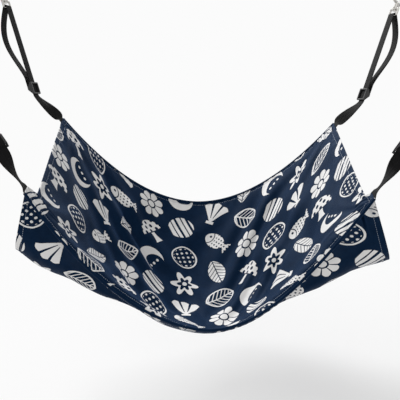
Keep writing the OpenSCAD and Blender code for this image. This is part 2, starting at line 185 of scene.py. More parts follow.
def sweep(name: str, middle: Array, across: Array, through: Array, section: Array) -> Piece:
    """Carries a closed section along a path and caps both ends.

    A point is middle + across * section x + through * section y. The surface coordinates are the section's x and the
    distance along the path.

    Args:
        name: The piece's name.
        middle: One point per station.
        across: Unit vectors of the section's x, one per station.
        through: Unit vectors of the section's y, one per station.
        section: Closed outline as x and y pairs, anticlockwise seen against the path.

    Returns:
        The new object.
    """
    stations, corners = len(middle), len(section)
    points = middle[:, None] + across[:, None] * section[:, :1] + through[:, None] * section[:, 1:]
    uv = stacked(section[None, :, 0], arc_lengths(middle, 0)[:, None])
    ring = np.arange(corners)
    faces = [*grid_quads(stations, corners, wrap=True)[:, ::-1], ring[::-1], ring + (stations - 1) * corners]
    return make_piece(name, points, faces, uv)


def flat_section(width: float, thickness: float) -> Array:
    """Outlines a flat band with half-round edges.

    Args:
        width: Whole width along x.
        thickness: Whole thickness along y.

    Returns:
        The outline, anticlockwise.
    """
    edge_steps, face_steps = 6, 10
    r = thickness / 2.0
    turn = np.linspace(-np.pi / 2.0, np.pi / 2.0, edge_steps)
    run = np.linspace(-1.0, 1.0, face_steps + 2)[1:-1] * (width / 2.0 - r)
    right = stacked(width / 2.0 - r + r * np.cos(turn), r * np.sin(turn))
    upper = stacked(run[::-1], r)
    return np.concatenate([right, upper, -right, -upper])


@dataclass(frozen=True)
class Stitching:
    """Rows of short rounded stitches: their pitch, the share of it that the thread covers and the thread's width.

    A stitch is a little arched band: a half ellipse over its length and a half round across it.
    """

    pitch: float
    fill: float
    width: float
    rise: float = 0.45
    sink: float = 0.1
    taper: float = 0.96

    def row(self, points: Array, normals: Array) -> tuple[Array, Array]:
        """Lays stitches end to end along a line on a surface.

        Args:
            points: The line's points.
            normals: The surface's normals at those points.

        Returns:
            The stitches' points and faces.
        """
        along = arc_lengths(points, 0)
        count = max(2, int(along[-1] / self.pitch))
        t, a = np.linspace(-1.0, 1.0, 6), np.linspace(0.0, np.pi, 5)
        at = (np.arange(count)[:, None] + 0.5 + t * self.fill / 2.0) * along[-1] / count
        line, up = (stacked(*(np.interp(at, along, part[:, k]) for k in range(3))) for part in (points, normals))
        up = unit(up)
        side = unit(np.cross(unit(np.gradient(line, axis=1)), up))
        lift = (self.rise * np.sin(a) - self.sink)[:, None]
        arch = side[:, :, None] * np.cos(a)[:, None] / 2.0 + up[:, :, None] * lift
        swell = self.width * np.sqrt(1.0 - self.taper * t**2)[:, None, None]
        quads = grid_quads(len(t), len(a)) + (np.arange(count) * len(t) * len(a))[:, None, None]
        return (line[:, :, None] + swell * arch).reshape(-1, 3), quads.reshape(-1, 4)

    def sew(self, name: str, lines: Sequence[tuple[Array, Array]]) -> Piece:
        """Sews rows along several lines into one piece.

        Args:
            name: The piece's name.
            lines: Points and normals of each line.

        Returns:
            The piece.
        """
        points, quads = zip(*(self.row(*line) for line in lines))
        starts = np.cumsum([0, *map(len, points[:-1])])
        return make_piece(name, np.concatenate(points), np.concatenate([q + k for q, k in zip(quads, starts)]))


# The print


@dataclass
class Field:
    """A number that varies over a surface: the output of a chain of Math nodes."""

    socket: Socket

    def math(self, operation: str, *others: "Field | float") -> "Field":
        """Adds a Math node that works on this field and the others.

        Args:
            operation: The Math node's operation.
            others: Further fields or plain numbers.

        Returns:
            The node's output.
        """
        node = add_node(self.socket.id_data, "ShaderNodeMath", dict(enumerate((self, *others))))
        node.operation = operation
        return Field(node.outputs[0])

    # A comparison gives 1 or 0, & the overlap of two shapes, | their union, and near 1 within reach of a value.
    __add__ = partialmethod(math, "ADD")
    __sub__ = partialmethod(math, "SUBTRACT")
    __mul__ = partialmethod(math, "MULTIPLY")
    __truediv__ = partialmethod(math, "DIVIDE")
    __abs__ = partialmethod(math, "ABSOLUTE")
    __lt__ = partialmethod(math, "LESS_THAN")
    __gt__ = partialmethod(math, "GREATER_THAN")
    __and__ = partialmethod(math, "MINIMUM")
    __or__ = partialmethod(math, "MAXIMUM")
    near = partialmethod(math, "COMPARE")
    sine = partialmethod(math, "SINE")
    cosine = partialmethod(math, "COSINE")

    def but(self, other: "Field") -> "Field":
        """Cuts another shape out of this one."""
        return (self - other) | 0.0

    def wrapped(self, period: float) -> "Field":
        """Folds the field into -period / 2 to period / 2."""
        return self.math("WRAP", period / 2.0, -period / 2.0)


@dataclass
class Spot:
    """A place on a surface, such as one in a motif's own frame, where the motif's cell is one unit wide and high."""

    x: Field
    y: Field

    def radius(self, x: float = 0.0, y: float = 0.0) -> Field:
        """Distance from a point."""
        dx, dy = self.x - x, self.y - y
        return (dx * dx + dy * dy).math("SQRT")

    def angle(self) -> Field:
        """Angle about the middle."""
        return self.y.math("ARCTAN2", self.x)

    def lattice(self, pitch: float) -> "Spot":
        """The same place counted from the nearest point of a square lattice."""
        return Spot(self.x.wrapped(pitch), self.y.wrapped(pitch))

    def veins(self, lean: float, pitch: float, side: float, rib: float) -> Field:
        """A leaf's midrib and slanting side veins, from the veins' lean and pitch and their half widths."""
        slant = (self.x - abs(self.y) * lean).wrapped(pitch)
        return (abs(slant) < side) | (abs(self.y) < rib)


def veined_leaf(spot: Spot) -> Field:
    """A pointed leaf with a midrib and side veins."""
    blade = (spot.radius(0.0, 0.27) < 0.51) & (spot.radius(0.0, -0.27) < 0.51)
    return blade.but(spot.veins(0.8, 0.125, 0.013, 0.014))


def outlined_leaf(spot: Spot) -> Field:
    """A broad leaf in outline with pale veins."""
    inside = spot.radius(0.0, 0.20) | spot.radius(0.0, -0.20)
    return inside.near(0.47, 0.021) | (spot.veins(0.9, 0.13, 0.017, 0.018) & (inside < 0.45))


def little_fish(spot: Spot) -> Field:
    """A fish from the side: an oval body with rows of dots, a forked tail, an eye and a gill."""
    body = Spot(spot.x / 1.6 + 0.045, spot.y).radius() < 0.215
    reach = spot.x - 0.22
    tail = (abs(spot.y) < reach * 0.95) & (reach < 0.21) & (reach > 0.0)
    eye = spot.radius(-0.28, 0.045) < 0.036
    gill = spot.radius(-0.40, 0.0).near(0.235, 0.014)
    scales = (spot.lattice(0.105).radius() < 0.026) & (spot.x > -0.11)
    return (body | tail).but(eye).but(gill).but(scales)


def daisy(spot: Spot) -> Field:
    """An eight-petalled daisy with a ringed heart."""
    r = spot.radius()
    petal = abs((spot.angle() * 4.0).cosine())
    between = (petal < 0.24) & (r > 0.13)
    return (r < petal.math("POWER", 0.5) * 0.16 + 0.25).but(between).but(r.near(0.125, 0.022))


def barred_pebble(spot: Spot) -> Field:
    """A rounded pebble of straight bars of two widths."""
    bars = (spot.x * 36.0).sine() + (spot.x * 18.0).sine() * 0.5
    return (Spot(spot.x / 1.18, spot.y).radius() < 0.345) & (bars > -0.45)


def speckled_egg(spot: Spot) -> Field:
    """An egg in outline, filled with small dots."""
    egg = Spot(spot.x / (spot.y * 0.22 + 1.0), spot.y * 0.86)
    dots = egg.lattice(0.135).radius() < 0.034
    return egg.radius().near(0.335, 0.021) | (dots & (egg.radius() < 0.285))


def fan_shell(spot: Spot) -> Field:
    """A fan-shaped shell with a scalloped rim and ribs that run to its hinge."""
    r = spot.radius(0.0, -0.31)
    lean = abs(spot.x.math("ARCTAN2", spot.y + 0.31))
    wave = (lean * 13.0).cosine()
    rib = (wave < -0.72) & (r > 0.16)
    hinge = (abs(spot.x) < 0.12) & spot.y.near(-0.31, 0.045)
    return ((r < wave * 0.022 + 0.66) & (lean < 0.72)).but(rib) | hinge


def toadstool(spot: Spot) -> Field:
    """A toadstool: a domed cap with round spots on a short flaring stem."""
    cap = (Spot(spot.x / 1.12, spot.y + 0.03).radius() < 0.375) & (spot.y > -0.03)
    dots = Spot(spot.x + spot.y, spot.x - spot.y).lattice(0.27).radius() < 0.078
    drop = spot.y + 0.08
    stem = (abs(spot.x) < drop * drop * 0.9 + 0.085) & spot.y.near(-0.215, 0.155)
    return cap.but(dots) | stem


def starflake(spot: Spot) -> Field:
    """A six-pointed star with a dark star cut into it and a dot in that."""
    r = spot.radius()
    point = abs((spot.angle() * 3.0).cosine()).math("POWER", 2.0)
    inner = (r < point * 0.10 + 0.115).but(r < 0.062)
    return (r < point * 0.21 + 0.20).but(inner)


def crescent(spot: Spot) -> Field:
    """A crescent with a row of dots in its hollow."""
    moon = (spot.radius() < 0.385).but(spot.radius(0.17, 0.0) < 0.30)
    dots = Spot(spot.x - 0.13, spot.y.wrapped(0.15)).radius() < 0.04
    return moon | (dots & (abs(spot.y) < 0.2))


# The motifs, in the order they follow each other along a row.
MOTIFS: tuple[Callable[[Spot], Field], ...] = (
    veined_leaf, toadstool, speckled_egg, little_fish, daisy, barred_pebble, fan_shell, outlined_leaf, crescent,
    starflake,
)


# Finishes


def feed(node: Node, inputs: dict) -> Node:
    """Feeds inputs of a node.

    Args:
        node: The node.
        inputs: Numbers, colours, fields or sockets, each under its input's name or number.

    Returns:
        The same node.
    """
    for key, value in inputs.items():
        source = value.socket if isinstance(value, Field) else value
        if isinstance(source, Socket):
            node.id_data.links.new(source, node.inputs[key])
        else:
            node.inputs[key].default_value = (*value, 1.0) if isinstance(value, tuple) else value
    return node


def add_node(tree: Tree, kind: str, inputs: dict) -> Node:
    """Adds a node of a kind and feeds it."""
    return feed(tree.nodes.new(kind), inputs)


def new_material(name: str) -> tuple[Material, Tree, Node]:
    """Starts a node material and gives it with its nodes and its surface shader."""
    material = bpy.data.materials.new(name)
    material.use_nodes = True
    return material, material.node_tree, material.node_tree.nodes["Principled BSDF"]


def place_on(tree: Tree, surface: bool) -> Socket:
    """Gives the piece's own surface coordinates, or else its object coordinates, in metres."""
    if not surface:
        return tree.nodes.new("ShaderNodeTexCoord").outputs["Object"]
    source = tree.nodes.new("ShaderNodeUVMap")
    source.uv_map = "Surface"
    return source.outputs[0]


def coordinates(tree: Tree, surface: bool) -> Spot:
    """Gives the first two of those coordinates as a spot."""
    parts = add_node(tree, "ShaderNodeSeparateXYZ", {0: place_on(tree, surface)})
    return Spot(Field(parts.outputs[0]), Field(parts.outputs[1]))


def noise_field(tree: Tree, scale: float, detail: float, roughness: float = 0.5, surface: bool = False) -> Field:
    """Adds a noise of about 0 to 1, from its waves per metre, its octaves and the share of each in the next."""
    inputs = {"Scale": scale, "Detail": detail, "Roughness": roughness, "Vector": place_on(tree, surface)}
    return Field(add_node(tree, "ShaderNodeTexNoise", inputs).outputs["Fac"])


def mix_colour(share: Field, low: "tuple | Socket", high: tuple) -> Socket:
    """Mixes two colours.

    Args:
        share: 0 for the low colour, 1 for the high one.
        low: A colour or a colour socket.
        high: A colour.

    Returns:
        The mixed colour's socket.
    """
    node = share.socket.id_data.nodes.new("ShaderNodeMix")
    node.data_type = "RGBA"
    return feed(node, {"Factor": share, 6: low, 7: high}).outputs[2]


def bump(height: Field, strength: float, distance: float) -> Socket:
    """Turns a relief into normals, from the share of it that shows and the height of one unit."""
    inputs = {"Strength": strength, "Distance": distance, "Height": height}
    return add_node(height.socket.id_data, "ShaderNodeBump", inputs).outputs[0]


def dress(piece: Piece, material: Material) -> None:
    """Gives every slot of a piece one material."""
    if not piece.data.materials:
        piece.data.materials.append(material)
    for slot in piece.material_slots:
        slot.material = material
    log.info("dressed %s in %s", piece.name, material.name)


@dataclass(frozen=True)
class PrintedCotton:
    """Navy cotton with an off-white tossed print in half-drop rows, on the cloth's own flat coordinates."""

    name: str = "printed_cotton"
    ground: tuple = (0.0010, 0.0044, 0.0125)
    # A lighter blue for the mottle: partly worn cloth, partly painted sheen.
    ground_worn_and_sheen: tuple = (0.0062, 0.0212, 0.0550)
    ink: tuple = (0.790, 0.780, 0.765)
    column: float = 0.0640
    row: float = 0.0620
    row_step: float = 3.0
    jitter: float = 0.07
    turn: float = 2.6
    mottle: tuple = (38.0, 7.0, 0.74)
    weave: float = 0.00062
    relief: tuple = (0.22, 0.0003)
    roughness: float = 0.60
    gloss: float = 0.08
    gloss_tint: tuple = (0.16, 0.44, 1.0)
    sheen: float = 0.05
    sheen_tint: tuple = (0.12, 0.38, 1.0)
    sheen_roughness: float = 0.45

    def coverage(self, flat: Spot) -> Field:
        """Works out where the ink lies.

        Args:
            flat: Flat coordinates along the sling and from front to back.

        Returns:
            1 on the ink, 0 on the ground.
        """
        tree, across = flat.x.socket.id_data, flat.x / self.column
        column = across.math("FLOOR")
        drop = flat.y / self.row + column.math("FLOORED_MODULO", 2.0) * 0.5
        row = drop.math("FLOOR")
        cell = add_node(tree, "ShaderNodeCombineXYZ", {0: column, 1: row})
        chance = add_node(tree, "ShaderNodeTexWhiteNoise", {"Vector": cell.outputs[0]})
        chance.noise_dimensions = "2D"
        parts = add_node(tree, "ShaderNodeSeparateColor", {0: chance.outputs["Color"]})
        first, second, third = (Field(parts.outputs[k]) - 0.5 for k in range(3))
        x = across.math("FRACT") - 0.5 + first * self.jitter
        y = drop.math("FRACT") - 0.5 + second * self.jitter
        turn = third * self.turn
        c, s = turn.cosine(), turn.sine()
        spot = Spot(x * c - y * s, x * s + y * c)
        order = (column + row * self.row_step).math("FLOORED_MODULO", len(MOTIFS))
        return reduce(operator.or_, [order.near(k, 0.25) & motif(spot) for k, motif in enumerate(MOTIFS)])

    def build(self) -> Material:
        """Makes the material: ink over a slightly mottled ground whose lighter blue is partly random wear and partly
        painted sheen, with a fine plain weave as bump.
        """
        material, tree, shader = new_material(self.name)
        flat = coordinates(tree, surface=True)
        mottle = noise_field(tree, *self.mottle, surface=True)
        # Painted sheen: the mottle lifts the navy ground towards a lighter blue in patches, partly random wear and
        # partly standing in for the cloth's sheen.
        ground = mix_colour(mottle, self.ground, self.ground_worn_and_sheen)
        pitch = FULL_TURN / self.weave
        weave = (flat.x * pitch).sine() * (flat.y * pitch).sine()
        feed(shader, {
            "Base Color": mix_colour(self.coverage(flat), ground, self.ink),
            "Normal": bump(mottle * 2.0 + weave * 0.5, *self.relief),
            "Roughness": self.roughness,
            "Specular IOR Level": self.gloss,
            "Specular Tint": self.gloss_tint,
            "Sheen Weight": self.sheen,
            "Sheen Tint": self.sheen_tint,
            "Sheen Roughness": self.sheen_roughness,
        })
        return material


@dataclass(frozen=True)
class WovenWebbing:
    """Black polypropylene webbing: ribs along its length crossed by a herringbone of slanting picks."""

    name: str = "black_webbing"
    dark: tuple = (0.0016, 0.0016, 0.0018)
    light: tuple = (0.0072, 0.0073, 0.0080)
    rib: float = 0.0033
    pick: float = 0.0016
    slant: float = 1.1
    relief: tuple = (0.55, 0.0004)
    roughness: float = 0.72
    gloss: float = 0.14

    def build(self) -> Material:
        """Makes the material on the band's own coordinates, across and along, with painted shade: darker in the
        weave's hollows and lighter on its raised threads.
        """
        material, tree, shader = new_material(self.name)
        band = coordinates(tree, surface=True)
        chevron = band.x.math("PINGPONG", self.rib) * self.slant
        pick = ((band.y + chevron) * (FULL_TURN / self.pick)).sine()
        weave = pick * 0.6 + (band.x * (FULL_TURN / self.rib)).cosine() * 0.4
        feed(shader, {
            # Painted shade: the colour follows the weave's relief, darker in its hollows and lighter on its raised
            # threads.
            "Base Color": mix_colour(weave * 0.35 + 0.4, self.dark, self.light),
            "Normal": bump(weave, *self.relief),
            "Roughness": self.roughness,
            "Specular IOR Level": self.gloss,
        })
        return material


@dataclass(frozen=True)
class MarkedFinish:
    """Plastic, metal or thread on object coordinates: wear in its colour and gloss, and a fine grain as bump.

    Wear and grain are the waves per metre and the octaves of a noise, the same one where no grain is given. The
    roughness spreads evenly about its middle.
    """

    name: str
    dark: tuple
    light: tuple
    wear: tuple
    relief: float
    roughness: float
    grain: tuple | None = None
    spread: float = 0.0
    metallic: float = 0.0
    sheen: float = 0.0
    depth: float = 0.0002

    def build(self) -> Material:
        """Makes the material."""
        material, tree, shader = new_material(self.name)
        wear = noise_field(tree, *self.wear)
        grain = noise_field(tree, *self.grain) if self.grain else wear
        rough = self.roughness
        if self.spread:
            rough = wear * self.spread + (self.roughness - self.spread / 2.0)
        feed(shader, {
            "Base Color": mix_colour(wear, self.dark, self.light),
            "Normal": bump(grain, self.relief, self.depth),
            "Roughness": rough,
            "Metallic": self.metallic,
            "Sheen Weight": self.sheen,
        })
        return material


PLATE_HAZE = (420.0, 5.0)
THREAD_TWIST = (1900.0, 2.0)
FINISHES = {
    "cotton": PrintedCotton(),
    "webbing": WovenWebbing(),
    "plastic": MarkedFinish(
        "slider_plastic", (0.0045, 0.0045, 0.0050), (0.0130, 0.0130, 0.0140), (140.0, 4.0), 0.18, 0.46,
        grain=(2600.0, 3.0), spread=0.22,
    ),
    "nickel": MarkedFinish(
        "nickel_plate", (0.41, 0.3977, 0.3772), (0.50, 0.485, 0.460), PLATE_HAZE, 0.06, 0.24, spread=0.18, metallic=1.0
    ),
    "steel": MarkedFinish(
        "plain_steel", (0.3444, 0.3444, 0.3526), (0.42, 0.42, 0.43), PLATE_HAZE, 0.06, 0.36, spread=0.18, metallic=1.0
    ),
    "pale_thread": MarkedFinish(
        "pale_thread", (0.260, 0.310, 0.390), (0.480, 0.520, 0.580), THREAD_TWIST, 0.3, 0.55, sheen=0.25
    ),
    "black_thread": MarkedFinish(
        "black_thread", (0.006, 0.006, 0.007), (0.035, 0.035, 0.038), THREAD_TWIST, 0.3, 0.55, sheen=0.25
    ),
}
HARDWARE = {
    "slider": "plastic", "eye": "nickel", "hook": "nickel", "gate": "nickel", "rivet": "steel", "spring": "steel",
}


# The sling


@dataclass
class Sling:
    """The two panels, sewn together along the front and back seams and open at both ends.

    A panel is a function of u, from -1 at the left end to 1 at the right, and v, from 0 at the front seam to 1 at
    the back seam. A pair of sizes is for the left and the right end.
    """

    half_span: float = 0.250
    half_depth: float = 0.160
    corner_z: float = -0.217
    back_sag: float = 0.168
    back_curve: float = 1.95
    front_sag: float = 0.233
    front_curves: tuple = (2.2, 1.55)
    front_apex: float = 0.018
    front_bulge: float = 0.003
    bed_dip: float = 0.062
    dip_curve: float = 1.3
    dip_peak: float = 0.42
    fold_h: float = 0.007
    fold_run: float = 0.9
    fold_width: float = 0.07
    fold_valley: float = 0.6
    fold_spacing: float = 1.6
    lip_h: float = 0.014
    lip_place: float = 0.050
    wave_h: float = 0.0075
    wave_pitch: float = 0.21
    wave_reach: float = 0.42
    wave_margin: float = 0.2
    draws: tuple = (0.010, 0.008)
    sleeve_gap: float = 0.012
    drops: tuple = (0.128, 0.137)
    flares: tuple = (-0.033, 0.052)
    mouth_start: float = 0.41
    mouth_curve: float = 1.3
    mouth_boxy: float = 4.5
    shoulder: float = 0.014
    shoulder_place: float = 0.05
    web_w: float = 0.020
    tack_ease: float = 0.04
    cloth_t: float = 0.0011
    seam_gap: float = 0.0016
    seam_roll: float = 0.0023
    seam_shift: float = 0.0006
    seam_stitch: float = 0.007
    hem: float = 0.010
    stitching: Stitching = Stitching(0.0036, 0.72, 0.00062)
    crease_waves: tuple = (0.150, 0.095, 0.062)
    crease_slope: float = 0.012
    crease_margin: float = 0.05
    pleat_h: float = 0.0012
    pleat_fade: float = 0.075
    pucker_h: float = 0.00042
    pucker_pitch: float = 0.0135
    stitch_sink: float = 0.00055
    cells_u: int = 236
    cells_v: int = 150
    ease_u: float = 0.45
    ease_v: float = 0.55

    def front_edge(self, u: Array) -> Array:
        """The front seam: a sagging line whose steepness changes from left to right."""
        curve = np.interp(u, (-1.0, 1.0), self.front_curves)
        middle = 1.0 - u * u
        x, y = self.half_span * u + self.front_apex * middle, -self.half_depth - self.front_bulge * middle
        return stacked(x, y, -self.front_sag * (1.0 - np.abs(u) ** curve))

    def back_edge(self, u: Array) -> Array:
        """The back seam: an even sagging line."""
        return stacked(self.half_span * u, self.half_depth, -self.back_sag * (1.0 - np.abs(u) ** self.back_curve))

    def dipped(self, u: Array, v: Array) -> Array:
        """The plain surface both panels start from: straight lines from seam to seam, with a dip between."""
        points = self.front_edge(u) * (1.0 - v)[..., None] + self.back_edge(u) * v[..., None]
        dip = self.bed_dip * np.clip(1.0 - u * u, 0.0, 1.0) ** self.dip_curve * skewed_sine(v, self.dip_peak)
        points[..., 2] += self.corner_z - dip
        return points

    def normals(self, u: Array, v: Array) -> Array:
        """Unit normals of the dipped surface, upwards, from small steps along u and v."""
        step = 0.004
        along_u = self.dipped(np.minimum(1.0, u + step), v) - self.dipped(np.maximum(-1.0, u - step), v)
        along_v = self.dipped(u, np.minimum(1.0, v + step)) - self.dipped(u, np.maximum(0.0, v - step))
        return unit(np.cross(along_u, along_v))

    @property
    def tack(self) -> float:
        """Share of v at each seam where both panels lie together, over most of the webbing's width."""
        return (self.web_w - 0.0024) / (2.0 * self.half_depth)

    def past_tack(self, v: Array) -> Array:
        """Rises from 0 to 1 beyond the stretch at the seams where both panels lie together."""
        return smooth_step((np.minimum(v, 1.0 - v) - self.tack) / self.tack_ease)

    def bed(self, u: Array, v: Array) -> Array:
        """The upper panel: the dipped surface, short of the lower panel's ends, raised by three kinds of fold.

        They are a lip beside the front seam, a bell-shaped fold with its valley down from each back corner, and
        cosine waves beside that fold, which sway and die away.
        """
        draw = np.where(u < 0.0, *self.draws) / self.half_span
        u = u * (1.0 - draw * np.abs(u) ** 3 * (1.0 - v) * self.past_tack(v))
        points = self.dipped(u, v)
        size = np.abs(u)
        lip = self.lip_h * 2.6 * size * (1.0 - u * u) * hump(v, self.lip_place)
        across = v - 1.0 + self.fold_run * (1.0 - size)
        at = across / self.fold_width
        fold = self.fold_h * (bell(at) - self.fold_valley * self.past_tack(v) * bell(at - self.fold_spacing))
        inner = smooth_step(np.minimum(v, 1.0 - v) / self.wave_margin)
        sway = across + 0.03 * np.sin(9.0 * u) - 0.08
        wave = self.wave_h * inner * np.cos(FULL_TURN * sway / self.wave_pitch) * bell(across / self.wave_reach)
        points[..., 2] += lip + 4.0 * size * (1.0 - size) * (fold + wave)
        return points

    def lower(self, u: Array, v: Array) -> Array:
        """The lower panel: close under the bed at the middle and a hanging, flared box at the open ends."""
        points = self.dipped(u, v) - self.seam_gap * self.normals(u, v)
        reach = np.clip((np.abs(u) - self.mouth_start) / (1.0 - self.mouth_start), 0.0, 1.0) ** self.mouth_curve
        w = np.clip((v - self.tack) / (1.0 - 2.0 * self.tack), 0.0, 1.0)
        box = np.clip(1.0 - np.abs(2.0 * w - 1.0) ** self.mouth_boxy, 0.0, 1.0) ** (1.0 / self.mouth_boxy)
        bulge = hump(1.0 - v, self.shoulder_place) - hump(v, self.shoulder_place)
        points[..., 0] += np.where(u < 0.0, *self.flares) * reach * box
        points[..., 1] += self.shoulder * reach * bulge * box
        hang = self.sleeve_gap * (1.0 - reach) * skewed_sine(v, self.dip_peak)
        points[..., 2] -= hang + np.where(u < 0.0, *self.drops) * reach * box
        return points

    def flat(self, points: Array) -> Array:
        """Unrolls a panel: distances along the grid's two lines, counted from the panel's middle."""
        s, t = arc_lengths(points, 0), arc_lengths(points, 1)
        return stacked(s - s[[len(s) // 2]], t - t[:, [t.shape[1] // 2]])

    def edges(self, flat: Array) -> list[tuple[Array, float, int]]:
        """Gives the distances from the front, back, left and right edge, its stitches' one and the axis across it."""
        s, t, seam, hem = flat[..., 0], flat[..., 1], self.seam_stitch, self.hem
        return [(t - t[:, :1], seam, 1), (t[:, -1:] - t, seam, 1), (s - s[:1], hem, 0), (s[-1:] - s, hem, 0)]

    def creases(self, flat: Array, seed: int) -> Array:
        """Works out the small relief of hung cotton.

        It is the sum of long soft waves, pleats that fan out from the four corners, and the puckers of the seams
        and hems, which die away from their stitch lines.

        Args:
            flat: The panel's unrolled coordinates.
            seed: Start of the random phases.

        Returns:
            Heights along the panel's normals.
        """
        draw = np.random.default_rng(seed)
        s, t = flat[..., 0], flat[..., 1]
        edges = self.edges(flat)
        front, back, left, right = (edge for edge, _, _ in edges)
        height = np.zeros_like(s)
        for wave in self.crease_waves:
            phase, turn = draw.uniform(0.0, FULL_TURN, 2)
            along = (s * np.cos(turn) + t * np.sin(turn)) * FULL_TURN / wave
            height += self.crease_slope * wave * np.sin(along + phase + 1.4 * np.sin(FULL_TURN * t / 0.21 + turn))
        for near in (np.minimum(front, back), np.minimum(left, right)):
            height *= smooth_step(near / self.crease_margin)
        for a in (left, right):
            for b in (front, back):
                far, fan = np.hypot(a, b), np.arctan2(b, a)
                pleat = np.sin(17.0 * fan + draw.uniform(0.0, 6.0)) + 0.6 * np.sin(29.0 * fan + draw.uniform(0.0, 6.0))
                height += self.pleat_h * pleat * np.exp(-far / self.pleat_fade) * smooth_step(far / 0.03)
        for edge, stitch, axis in edges:
            run = flat[..., 1 - axis]
            wander = 1.3 * np.sin(run * FULL_TURN / 0.083 + draw.uniform(0.0, 6.0))
            pucker = np.sin(run * FULL_TURN / self.pucker_pitch + wander)
            height += self.pucker_h * pucker * bell((edge - 1.25 * stitch) / 0.010)
            height -= self.stitch_sink * bell((edge - stitch) / 0.0013)
        return height

    def panel(
        self, name: str, shape: Callable[[Array, Array], Array], seed: int, face: float
    ) -> tuple[Piece, list[tuple[Array, Array]]]:
        """Builds one panel as a thin creased sheet, and finds the stitch lines along its four edges.

        Args:
            name: The piece's name.
            shape: The panel's surface.
            seed: Start of the random phases of its creases.
            face: 1 for stitches on the upper face, -1 for the lower one.

        Returns:
            The panel, and the points and normals of each line.
        """
        u, v = np.meshgrid(
            2.0 * spread(self.cells_u + 1, self.ease_u) - 1.0, spread(self.cells_v + 1, self.ease_v), indexing="ij"
        )
        points = shape(u, v)
        flat = self.flat(points)
        points = points + grid_normals(points) * self.creases(flat, seed)[..., None]
        piece = make_piece(name, points, grid_quads(*u.shape), flat)
        wall = piece.modifiers.new("Cloth", "SOLIDIFY")
        wall.thickness = self.cloth_t
        wall.offset = 0.0
        up = face * grid_normals(points)
        lifted = points + up * (self.cloth_t / 2.0)
        return piece, [self.line_at(lifted, up, *edge) for edge in self.edges(self.flat(points))]

    def seam(self, end: End) -> Piece:
        """Builds the rolled edge of a seam: a fat cord of cloth along the seam's line, shifted a little inwards.

        Args:
            end: Which of the two seams.

        Returns:
            The piece.
        """
        u = np.linspace(-0.998, 0.998, 420)
        v = np.full_like(u, 0.0 if end is End.FRONT else 1.0)
        line = self.dipped(u, v) - self.seam_gap / 2.0 * self.normals(u, v)
        line[:, 1] -= end.value * self.seam_shift
        along = headings(line)
        across = unit(np.cross(along, UP))
        a = np.linspace(0.0, FULL_TURN, 13)[:-1]
        section = stacked(np.cos(a), np.sin(a)) * self.seam_roll
        return sweep(f"{end.name.lower()}_seam", line, across, np.cross(across, along), section)

    @staticmethod
    def line_at(points: Array, normals: Array, depth: Array, distance: float, axis: int) -> tuple[Array, Array]:
        """Finds the line on a grid that lies at one distance from an edge.

        Args:
            points: The grid's points.
            normals: The grid's normals.
            depth: Distance of each point from the edge.
            distance: The line's distance from the edge.
            axis: The grid axis that the distance grows or falls along.

        Returns:
            The line's points and normals.
        """
        depth, points, normals = (np.moveaxis(a, axis, 0) for a in (depth, points, normals))
        if depth[-1, 0] < depth[0, 0]:
            depth, points, normals = depth[::-1], points[::-1], normals[::-1]
        high = np.clip(np.argmax(depth >= distance, axis=0), 1, len(depth) - 1)
        place = np.arange(depth.shape[1])
        low_d, high_d = depth[high - 1, place], depth[high, place]
        share = np.clip((distance - low_d) / np.maximum(high_d - low_d, 1e-9), 0.0, 1.0)[:, None]
        line = points[high - 1, place] * (1.0 - share) + points[high, place] * share
        return line[2:-2], normals[high, place][2:-2]

    def build(self, wardrobe: Wardrobe) -> None:
        bed, bed_lines = self.panel("bed_panel", self.bed, 11, 1.0)
        lower, lower_lines = self.panel("lower_panel", self.lower, 23, -1.0)
        front, back = map(self.seam, End)
        bed_sewing = self.stitching.sew("bed_stitching", bed_lines)
        lower_sewing = self.stitching.sew("lower_stitching", lower_lines)
        for piece in (bed, lower, front, back, bed_sewing, lower_sewing):
            dress(piece, wardrobe["pale_thread" if piece in (bed_sewing, lower_sewing) else "cotton"])
            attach(piece, "sling")
        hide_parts("top_panel")
        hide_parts("bottom_panel")


# Straps and hooks


# How the right strap of each end hangs: its hanging point, its way from the sewn corner to the slider and, in degrees,
# its roll about its own length and its further twist below the slider.
HANGS = {
    End.FRONT: ((0.333, -0.200, 0.0), (0.026, -0.016, 0.070), 182.0, -20.0),
    End.BACK: ((0.356, 0.232, 0.0), (0.047, 0.015, 0.051), -130.0, 45.0),
}


